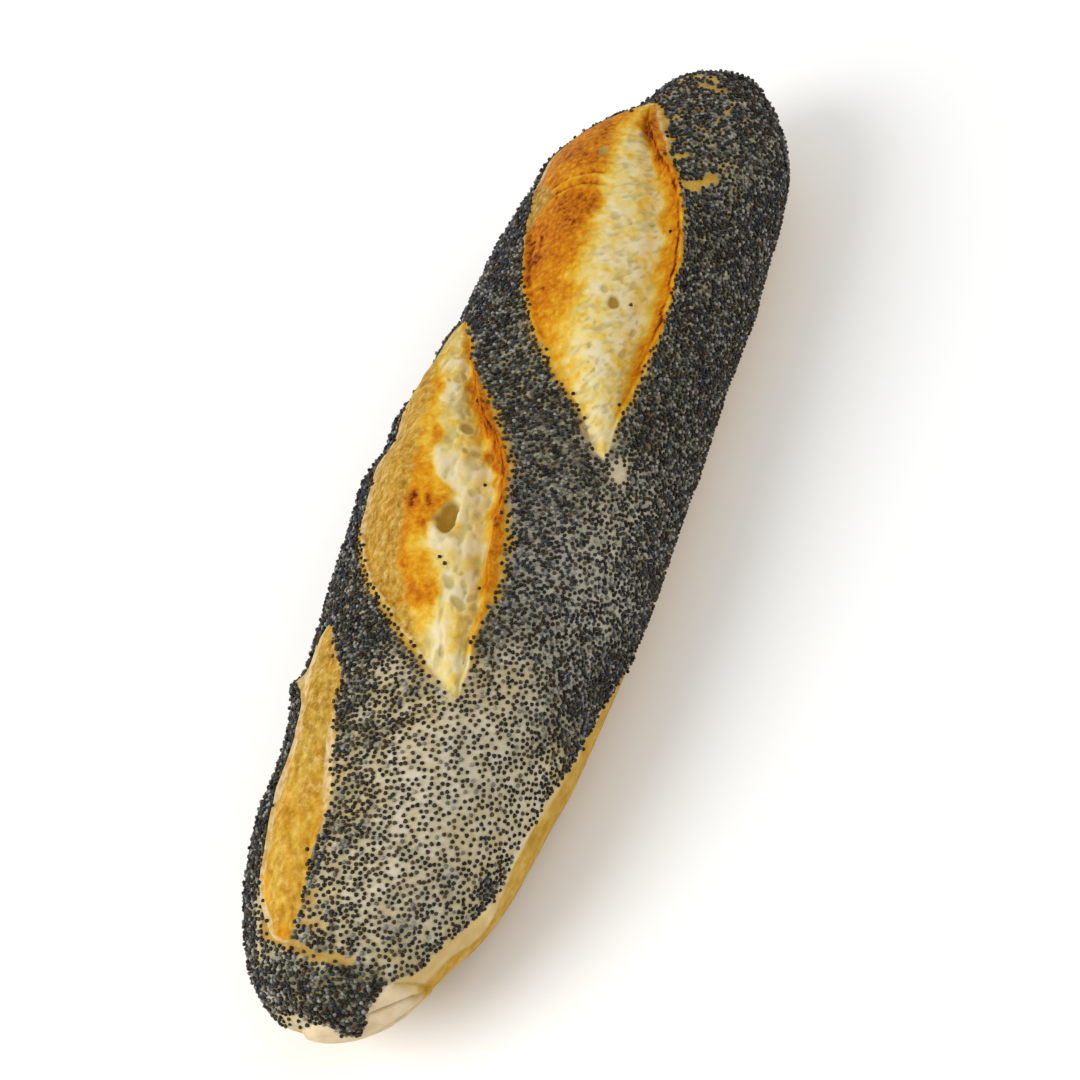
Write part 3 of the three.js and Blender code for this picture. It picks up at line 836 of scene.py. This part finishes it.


# Colour measures of a score: how toasted, tan and cream its crumb is, the painted shade in its hollows and
# pores, and the cut's area.
def scoreMeasures(name, share, offset, place, fromLeft, fromEar, above, below, poreShade):
    score, form = scoreForms[name], toastForm
    length, seed = scoreAxis(score)[0], score["seed"]
    toastedFlank = form["flankShare"] * curve(score["flank"], np.clip(share, 0, 1))
    cut = ease(-0.5, 0.1, fromLeft) * ease(-0.6, -0.1, fromEar + toastedFlank)
    cut = cut * (share > 0) * (share < 1)
    skin = ease(0, 1, above / curve(score["heatWidth"], share))
    coarse, mid = waves(place, 4.5, seed + 40), waves(place, 2, seed + 41)
    strands, fine = crumbStrands(score, place)
    paleToast = 0.1 + 0.12 * coarse + 0.1 * waves(place, 1.5, seed + 45) + 0.05 * strands
    patches = 0.09 + 0.08 * ease(0.66, 0.72, share) * (name == "far")
    toast = curve(form["heat"][name], share) + patches * coarse
    toast = toast + 0.08 * mid + 0.07 * waves(place, 1, seed + 42)
    if name == "near":
        skin, tan = np.ones(share.shape), 0.5 + 0.3 * ease(0.3, 0.7, share) + 0.2 * mid
    toast = paleToast + skin * (toast - paleToast)
    if name == "middle":
        stripe = curve(form["stripe"], share)
        tan = ease(-1.2, 1.6, offset - stripe + 1.3 * waves(place, 3, seed + 43))
        tan = tan * (0.78 + 0.3 * strandNoise(score, place, (3, 0.7), 48))
        tan = tan * (1 - 0.5 * ease(0.82, 0.97, share))
        toast = toast + 0.08 * bell(offset, stripe - 0.6, 1) * ease(0.15, 0.3, share)
    if name == "far":
        fan = form["fan"]
        beyond = offset - fan["start"] - fan["slope"] * np.abs(share - fan["share"])
        tan = 0.9 * ease(-0.5, 0.8, beyond + 0.8 * mid)
        # painted shade in the tears' grooves, and a painted highlight on their ridges
        groove, ridge = tearRipples(share, offset)
        toast = toast + 0.2 * groove - 0.16 * ridge
        # a browner line runs along the left edge up to the tears
        before = ease(0.25, 0.45, share) * ease(0.66, 0.62, share)
        toast = toast + 0.14 * bell(fromLeft, 1.5, 0.8) * before
    if name in form["ear"]:
        crest = curve(form["ear"][name], share) - 0.08 * ease(2.5, 0, below)
        crest = crest + 0.14 * mid + 0.06 * fine + 0.08 * coarse
        toast = toast + ease(-1.2, 2.2, below) * (crest - toast)
    core, side = form["lines"]
    wander = octaves(place, [form["lineWander"]], seed + 47)
    burnt = swelling(core, fromEar - wander) + swelling(side, fromEar)
    breaks = waves(place, 5, seed + 44) + waves(place, 1.6, seed + 46)
    burnt = burnt * (0.85 + 0.45 * breaks)
    toast = toast + np.clip(burnt, 0, 1.2) * curve(form["burnt"][name], share)
    for at, side, long, wide, mark in scorchForm[name]:
        gap = np.hypot((share - at) * length / long, (offset - side) / wide) + 0.3 * mid
        toast = toast + mark * ease(1.3, 0.3, gap)
        tan = tan * (1 - ease(1.3, 0.5, gap) * (mark > 0.1))
    lip = 0
    for pairs, inside in zip(form["lips"][name], (fromLeft, fromEar)):
        width = curve(pairs, share) + 0.5 * mid
        lip = np.maximum(lip, form["lipShare"] * ease(width + 0.4, width - 0.4, inside))
    # painted shade in the hollows between the pale crumb's strands, where it has no skin
    hollows = np.clip(-0.9 * strands - 0.7 * fine + 0.3 * coarse - 0.1, 0, 0.65)
    shade = (1 - skin) * hollows * ease(3, -1, below)
    toast, tan = np.clip(toast, 0, 1), np.clip(tan, 0, 1)
    return dict(cut=cut, toast=toast, tan=tan, poreShade=poreShade, lip=lip, shade=shade)


# Mottled colours: the grain of their noise in millimetres, its detail and roughness, and the colours' stops.
crustColours = dict(
    plain=(6, 3, 0.5, [(0.35, "#b5a88a"), (0.47, "#b8a774"), (0.54, "#bcae86"), (0.65, "#c2b69c")]),
    floury=(3, 3, 0.5, [(0.35, "#ada386"), (0.65, "#c9c0ac")]),
    # painted shade in between thick seeds, on bare crust and on floury crust
    shadeBetweenSeeds=(3, 4, 0.6, [(0.36, "#4c4638"), (0.48, "#716a56"), (0.56, "#8d8358"), (0.66, "#aca68c")]),
    flouryShadeBetweenSeeds=(4, 3, 0.5, [(0.35, "#959083"), (0.65, "#bab5a8")]),
    pale=(6, 4, 0.5, [(0.35, "#c2a261"), (0.55, "#cfb275"), (0.7, "#dac48e")]),
    powder=(5, 4, 0.5, [(0.35, "#ceb592"), (0.65, "#e0cdb0")]),
    gold=(4, 4, 0.6, [(0.32, "#a57b21"), (0.5, "#b78f35"), (0.68, "#c8a452")]),
)
crumbColours = dict(
    tan=(2, 4, 0.7, [(0.36, "#80590f"), (0.47, "#9f7729"), (0.56, "#b08f43"), (0.64, "#c5a966")]),
    cream=(2, 3, 0.5, [(0.38, "#b8934f"), (0.5, "#c6ab76"), (0.62, "#cdba92")]),
    # painted shade in the hollows between the pale crumb's strands
    hollowShade=(2, 3, 0.5, [(0.35, "#a08d48"), (0.65, "#b9a96c")]),
)
toastStops = [(0.02, "#dbcca2"), (0.14, "#dac272"), (0.27, "#d2a733"), (0.42, "#c78a12"), (0.56, "#ba7007"),
              (0.7, "#a75c04"), (0.84, "#7a3602"), (1, "#452006")]
# painted shade in the pores and holes: olive where shallow, browner where deep
poreShadeStops = [(0.35, "#b3a368"), (0.65, "#a28439"), (1, "#a07012")]


def newMaterial(name):
    material = bpy.data.materials.new(name)
    material.use_nodes = True
    return material


# A noise and a ramp of colours for each of the mottled colours.
def mottled(material, colours):
    place = addNode(material, "ShaderNodeTexCoord")
    outputs = {}
    for name, (grain, detail, rough, stops) in colours.items():
        values = dict(Scale=1 / (grain * mm), Detail=detail, Roughness=rough)
        noise = addNode(material, "ShaderNodeTexNoise", {}, values, dict(Vector=(place, "Object")))
        ramp = addNode(material, "ShaderNodeValToRGB", links=dict(Fac=(noise, "Fac")), stops=stops)
        outputs[name] = (ramp, "Color")
    return outputs


# A colour with others laid over it in turn, each as far as its factor says.
def layered(material, colour, *layers):
    for factor, over in layers:
        links = {0: factor, 6: colour, 7: over}
        colour = (addNode(material, "ShaderNodeMix", dict(data_type="RGBA"), links=links), 2)
    return colour


# Gives the shader its colour, its values and a fine wrinkle, of a grain and a depth in millimetres.
def dress(material, colour, wrinkle, values):
    place = addNode(material, "ShaderNodeTexCoord")
    grain = dict(Scale=1 / (wrinkle["grain"] * mm), Detail=4, Roughness=0.6)
    noise = addNode(material, "ShaderNodeTexNoise", {}, grain, dict(Vector=(place, "Object")))
    relief = dict(Strength=wrinkle["strength"], Distance=wrinkle["depth"] * mm)
    bump = addNode(material, "ShaderNodeBump", {}, relief, dict(Height=(noise, "Fac")))
    links = {"Base Color": colour, "Normal": (bump, "Normal")}
    addNode(material, "Principled BSDF", {}, values, links)


# Baked wheat crust: a dry skin of browned flour, matt, with a fine wrinkle, and pale where flour lay on it;
# with painted shade in between the seeds where they lie thick.
def bakedCrust(material):
    colours = mottled(material, crustColours)
    measures = {name: (addNode(material, "ShaderNodeAttribute", dict(attribute_name=name)), "Fac")
                for name in ("gold", "cream", "flour", "coat")}
    floury = measures["flour"]
    plain = layered(material, colours["plain"], (floury, colours["floury"]))
    shadeBetweenSeeds = layered(material, colours["shadeBetweenSeeds"], (floury, colours["flouryShadeBetweenSeeds"]))
    pale = layered(material, colours["pale"], (floury, colours["powder"]))
    # painted shade: the crust is darker in between the seeds where they lie thick
    thick = addNode(material, "ShaderNodeMapRange", dict(interpolation_type="SMOOTHSTEP"),
                    {"From Min": 0.4, "From Max": 0.95}, dict(Value=measures["coat"]))
    return layered(material, plain, ((thick, "Result"), shadeBetweenSeeds), (measures["gold"], colours["gold"]),
                   (measures["cream"], pale))


def makeCrustMaterial():
    material = newMaterial("bakedWheatCrust")
    wrinkle = dict(grain=1.1, strength=0.5, depth=0.25)
    dress(material, bakedCrust(material), wrinkle, {"Roughness": 0.7, "Specular IOR Level": 0.12})
    return material


# Torn wheat crumb: pale, soft and pored where it opened last, toasted gold to orange-brown elsewhere, with
# painted shade in its hollows and pores.
def makeCrumbMaterial():
    material = newMaterial("tornWheatCrumb")
    crust = bakedCrust(material)
    colours = mottled(material, crumbColours)
    measures = {name: (addNode(material, "ShaderNodeAttribute", dict(attribute_name=name)), "Fac")
                for name in ("cut", "toast", "tan", "poreShade", "lip", "shade")}
    place = addNode(material, "ShaderNodeTexCoord")
    # specks about a millimetre and a half apart, more and less toasted than the crumb round them
    grain = dict(Scale=1 / (1.4 * mm), Detail=3, Roughness=0.6)
    noise = addNode(material, "ShaderNodeTexNoise", {}, grain, dict(Vector=(place, "Object")))
    speckle = addNode(material, "ShaderNodeMath", dict(operation="MULTIPLY_ADD"), {1: 1.4, 2: 0.3},
                      {0: (noise, "Fac")})
    toast = addNode(material, "ShaderNodeMath", dict(operation="MULTIPLY"),
                    links={0: measures["toast"], 1: (speckle, "Value")})
    toasted = addNode(material, "ShaderNodeValToRGB", links=dict(Fac=(toast, "Value")), stops=toastStops)
    # painted shade in the pores and holes, darker as they deepen
    poreShadeShare = addNode(material, "ShaderNodeMath", dict(operation="MULTIPLY", use_clamp=True), {1: 1.5},
                     {0: measures["poreShade"]})
    poreShadeRamp = addNode(material, "ShaderNodeValToRGB", links=dict(Fac=measures["poreShade"]), stops=poreShadeStops)
    # painted shade in the strands' hollows goes under the tan skin, and painted shade in the pores over it
    crumb = layered(material, (toasted, "Color"), (measures["shade"], colours["hollowShade"]),
                    (measures["tan"], colours["tan"]), ((poreShadeShare, "Value"), (poreShadeRamp, "Color")),
                    (measures["lip"], colours["cream"]))
    colour = layered(material, crust, (measures["cut"], crumb))
    dress(material, colour, dict(grain=0.9, strength=0.6, depth=0.3), {
        "Roughness": 0.65, "Specular IOR Level": 0.08,
        "Subsurface Weight": 0.08, "Subsurface Radius": (1.2, 0.6, 0.25), "Subsurface Scale": 1.2 * mm,
    })
    return material


# Poppy seeds: dry hulls with a net of tiny pits, drawn as a fine bump, from blue-black to grey-brown.
seedForm = dict(
    length=(1.04, 1.24), width=0.92, thickness=0.82, sink=0.22, tilt=0.24, bend=0.17, dent=0.17,
    pit=0.13,  # the mesh of the net
    # how close the middles of two seeds get where they lie thick, and where they lie apart
    closest=(0.82, 1.4),
    spread=0.73,  # the same as a share of the mean distance between them
    jam=0.547,  # the share of an area that is full when no more fits in at random
    lift=(-0.05, 0.08), pileShare=0.14, pileLift=(0.35, 0.65),  # how far they stand out, and some on others
    lower=(-58, -72), lowerLess=0.5,  # low on the -Y side the coat thins out
    strays=0.06, straysReach=0.9,  # seeds that fell just inside a score
    mostArea=48,  # the largest area that a radian and a millimetre span anywhere on the loaf
    around=(-80, 72), inside=0.998,  # how far round and along the loaf they are drawn
    draws=300000, most=20800, seed=404, step=0.25, cell=1,
    # the share of each tone where the seeds lie thick, and where they lie apart
    tones=dict(
        seedsSlate=dict(share=(0.25, 0.03), colours=["#2f3334", "#3b4040", "#26292b"]),
        seedsBlack=dict(share=(0.28, 0.48), colours=["#201b14", "#2a231a", "#181510"]),
        seedsBrown=dict(share=(0.17, 0.42), colours=["#2f2416", "#3d2f1d", "#4d3d29"]),
        seedsGrey=dict(share=(0.25, 0.06), colours=["#73726b", "#8f8c84", "#5b5a54"]),
        seedsBlue=dict(share=(0.06, 0.01), colours=["#272b36", "#323544", "#373d46"]),
    ),
)


def makeSeedMaterial(name, colour):
    material = newMaterial(name)
    place = addNode(material, "ShaderNodeTexCoord")
    net = addNode(material, "ShaderNodeTexVoronoi", dict(feature="DISTANCE_TO_EDGE"),
                  dict(Scale=1 / (seedForm["pit"] * mm)), dict(Vector=(place, "Object")))
    pits = addNode(material, "ShaderNodeBump", dict(invert=True), dict(Strength=0.5, Distance=0.05 * mm),
                   dict(Height=(net, "Distance")))
    values = {"Base Color": hexColour(colour), "Roughness": 0.5, "Specular IOR Level": 0.2}
    addNode(material, "Principled BSDF", values=values, links=dict(Normal=(pits, "Normal")))
    return material


# One kidney-shaped seed: three rings of five points along its length, and its two ends.
def seedShape():
    form = seedForm
    points = [(-1, 0, 0)]
    for along in (-0.62, 0, 0.62):
        radius = math.sqrt(1 - along**2)
        for step in range(5):
            turn = 2 * math.pi * (step + 0.5 * (along == 0)) / 5
            points.append((along, radius * math.cos(turn), radius * math.sin(turn)))
    points.append((1, 0, 0))
    points = np.array(points) * [0.5, form["width"] / 2, form["thickness"] / 2]
    points[:, 1] += form["bend"] * (2 * points[:, 0]) ** 2 - form["dent"] * 0.5
    triangles = []
    for step in range(5):
        after = (step + 1) % 5
        triangles.append((0, 1 + after, 1 + step))
        triangles.append((16, 11 + step, 11 + after))
        for ring in (1, 6):
            triangles.append((ring + step, ring + after, ring + 5 + step))
            triangles.append((ring + after, ring + 5 + after, ring + 5 + step))
    return points, np.array(triangles)


# Seeds to the square millimetre at places on the crust.
def seedDensity(along, around):
    form, place = seedForm, flat(along, around)
    density = coatForm["dense"] * coatShare(along, around) * (1 - barePatches(along, around))
    density = density * (1 - form["lowerLess"] * ease(*form["lower"], around) * (along > -30))
    for score in scoreForms.values():
        share, offset = placeInScore(score, along, around)
        left, right = raggedEdges(score, share)
        flank, fray = (curve(score[key], np.clip(share, 0, 1)) for key in ("flank", "fray"))
        margin = 0.1 * strengthOf(share) * (score["ear"] > 1) + flank
        within = np.minimum(left - offset, right + margin + offset)
        fray = np.where(offset > 0, fray, 0.4 * fray + 0.3)
        within = within + 0.5 * waves(place, 2.2, 83) + 0.35 * waves(place, 1, 86)
        strays = form["strays"] * np.exp(-np.maximum(within, 0) / form["straysReach"]) + score["strays"]
        thinned = 0.4 + 0.1 * fray  # by how much the coat is thinner at the very edge
        shown = np.where(within > 0, strays, 1 - thinned * (1 - ease(0, -0.7 - fray, within)))
        density = density * np.where((share > 0) & (share < 1), shown, 1)
    return density


# Places for the seeds: random darts, each kept if its neighbours leave it room.
def seedPlaces():
    form = seedForm
    random = np.random.default_rng(form["seed"])
    along = random.uniform(-1, 1, form["draws"]) * loafForm["halfLength"] * form["inside"]
    around = random.uniform(*form["around"], form["draws"])
    angle = around / loafForm["roundRadius"]
    turned = smoothPoint(along, angle + 0.004) - smoothPoint(along, angle - 0.004)
    moved = smoothPoint(np.minimum(along + 0.1, loafForm["halfLength"]), angle)
    moved = moved - smoothPoint(along - 0.1, angle)
    area = np.linalg.norm(np.cross(turned / 0.008, moved / 0.2), axis=-1)
    density = seedDensity(along, around)
    # more darts are thrown than seeds are wanted, as ever fewer of them find room
    gaps = np.clip(form["spread"] / np.sqrt(np.maximum(density, 0.01)), *form["closest"])
    filled = density * np.pi / 4 * gaps**2
    darts = density / np.maximum(1 - filled / form["jam"], 0.02) ** 1.25
    drawn = form["draws"] / (2 * loafForm["halfLength"] * (form["around"][1] - form["around"][0]))
    kept = random.random(form["draws"]) < np.clip(area / form["mostArea"], 0, 1) * darts / drawn
    along, around, density, gaps = along[kept], around[kept], density[kept], gaps[kept]
    piled = random.random(len(along)) < form["pileShare"] * ease(0.75, 0.95, density)
    high, low = (random.uniform(*form[key], len(along)) for key in ("pileLift", "lift"))
    lift = np.where(piled, high, low)
    step = form["step"]
    ahead = outerPoint(along + step, around) - outerPoint(along - step, around)
    sideways = outerPoint(along, around + step) - outerPoint(along, around - step)
    normals = unit(np.cross(ahead, sideways))
    points = outerPoint(along, around) + normals * lift[:, None]
    gaps = gaps * random.uniform(0.94, 1.06, len(along))
    # a lattice of cells keeps the search for neighbours short
    cells = np.floor(points / form["cell"]).astype(int).tolist()
    beside = [(x, y, z) for x in (-1, 0, 1) for y in (-1, 0, 1) for z in (-1, 0, 1)]
    room, chosen = {}, []
    for number, (home, point, gap) in enumerate(zip(cells, points.tolist(), gaps.tolist())):
        near = gap * gap
        if any(sum((a - b) ** 2 for a, b in zip(point, other)) < near for x, y, z in beside
               for other in room.get((home[0] + x, home[1] + y, home[2] + z), ())):
            continue
        room.setdefault(tuple(home), []).append(point)
        chosen.append(number)
        if len(chosen) == form["most"]:
            break
    print(len(chosen), "seeds from", len(along), "darts")
    return points[chosen], normals[chosen], along[chosen], around[chosen], density[chosen], random


def makeSeeds():
    form = seedForm
    points, normals, along, around, density, random = seedPlaces()
    count = len(points)
    shape, triangles = seedShape()
    # each seed's own axes: its length lies along the crust at a random turn, and it tips a little
    helper = np.where(np.abs(normals[:, :1]) < 0.8, [[1.0, 0, 0]], [[0, 1.0, 0]])
    long = unit(np.cross(normals, helper))
    long, wide = turnedBy(random.uniform(0, 2 * np.pi, (count, 1)), long, np.cross(normals, long))
    tilt, roll = random.normal(0, form["tilt"], (2, count, 1))
    long = unit(long + normals * tilt)
    wide = wide + normals * roll
    wide = unit(wide - long * (long * wide).sum(-1, keepdims=True))
    thick = np.cross(long, wide)
    sizes = random.uniform(*form["length"], (count, 1)) * random.uniform(0.9, 1.1, (count, 3))
    middle = points + normals * (form["thickness"] / 2 - form["sink"])
    # tones follow slow drifts over the loaf, so that some places are bluer and others browner
    place = flat(along, around)
    apart = ease(0.75, 0.45, density)[:, None]
    thickShares, apartShares = np.array([tone["share"] for tone in form["tones"].values()]).T
    shares = thickShares * (1 - apart) + apartShares * apart
    behind = ease(0, 25, around) * ease(-60, 10, along)
    shares[:, 4] *= 1 + 0.9 * waves(place, 14, 91) + 2.5 * behind
    shares[:, 3] *= 1 + 0.9 * waves(place, 5.5, 92)
    limits = np.cumsum(shares, axis=1) / shares.sum(1, keepdims=True)
    kind = (random.random((count, 1)) > limits[:, :-1]).sum(1)
    for number, (name, tone) in enumerate(form["tones"].items()):
        mine = np.flatnonzero(kind == number)
        size = sizes[mine, None, :] * shape[None]
        where = middle[mine, None] + size[..., :1] * long[mine, None] + size[..., 1:2] * wide[mine, None]
        where = where + size[..., 2:] * thick[mine, None]
        faces = triangles[None] + np.arange(len(mine))[:, None, None] * len(shape)
        piece = meshFrom(name, where.reshape(-1, 3), faces.reshape(-1, 3))
        shades = random.integers(0, len(tone["colours"]), len(mine))
        shades = np.repeat(shades, len(triangles)).astype(np.int32)
        piece.data.polygons.foreach_set("material_index", shades)
        colours = enumerate(tone["colours"])
        onLoaf(piece, [makeSeedMaterial(name + str(shade), colour) for shade, colour in colours])


studio = dict(
    floorHalf=3.0, floorColour="#f7f7f5", worldColour="#ffffff", worldStrength=0.67,
    lampSize=0.9, lampDistance=1.2,
    # the direction and power of each lamp
    key=((-0.62, 0.55, 0.75), 10.4),
    fill=((0.5, -0.8, 0.7), 3.7),
)
mainView = dict(
    direction=(-0.45, -0.4193, 0.7885),  # from the object to the camera
    distance=700, centre=(-9.4, -9.8, 28), roll=-26.1,
    focal=2728, imageSize=1080,  # in pixels of the image
    sensor=36, clipStart=0.01,
)


def makeFloor():
    half = studio["floorHalf"]
    mesh = bpy.data.meshes.new("floor")
    corners = [(-half, -half, 0), (half, -half, 0), (half, half, 0), (-half, half, 0)]
    mesh.from_pydata(corners, [], [(0, 1, 2, 3)])
    floor = addObject("floor", mesh)
    material = newMaterial("paleFloor")
    values = {"Base Color": hexColour(studio["floorColour"]), "Roughness": 0.9}
    addNode(material, "Principled BSDF", values=values)
    floor.data.materials.append(material)


def makeLight(name):
    direction, power = studio[name]
    light = bpy.data.lights.new(name, "AREA")
    light.shape = "DISK"
    light.size = studio["lampSize"]
    light.energy = power
    lamp = addObject(name, light)
    towards = Vector(direction).normalized()
    lamp.location = towards * studio["lampDistance"]
    lamp.rotation_euler = towards.to_track_quat("Z", "Y").to_euler()


def makeWorld():
    world = bpy.data.worlds.new("softWhite")
    world.use_nodes = True
    addNode(world, "Background",
            values=dict(Color=hexColour(studio["worldColour"]), Strength=studio["worldStrength"]))
    bpy.context.scene.world = world


def makeCamera():
    view = mainView
    data = bpy.data.cameras.new("camera")
    data.sensor_width = view["sensor"]
    data.lens = view["focal"] * view["sensor"] / view["imageSize"]
    data.clip_start = view["clipStart"]
    camera = addObject("camera", data)
    direction = Vector(view["direction"]).normalized()
    camera.location = (Vector(view["centre"]) + direction * view["distance"]) * mm
    turn = direction.to_track_quat("Z", "Y").to_matrix()
    roll = math.radians(view["roll"])
    right = turn.col[0] * math.cos(roll) + turn.col[1] * math.sin(roll)
    up = turn.col[1] * math.cos(roll) - turn.col[0] * math.sin(roll)
    turn.col[0], turn.col[1] = right, up
    camera.rotation_euler = turn.to_euler()
    bpy.context.scene.camera = camera


crustMaterial = makeCrustMaterial()
crumbMaterial = makeCrumbMaterial()
makeCrust([crustMaterial])
for scoreName in scoreForms:
    makeScore(scoreName, [crumbMaterial])
makeSeeds()
makeFloor()
makeLight("key")
makeLight("fill")
makeWorld()
makeCamera()
bpy.context.scene.view_settings.view_transform = "Standard"
print("scene ready")
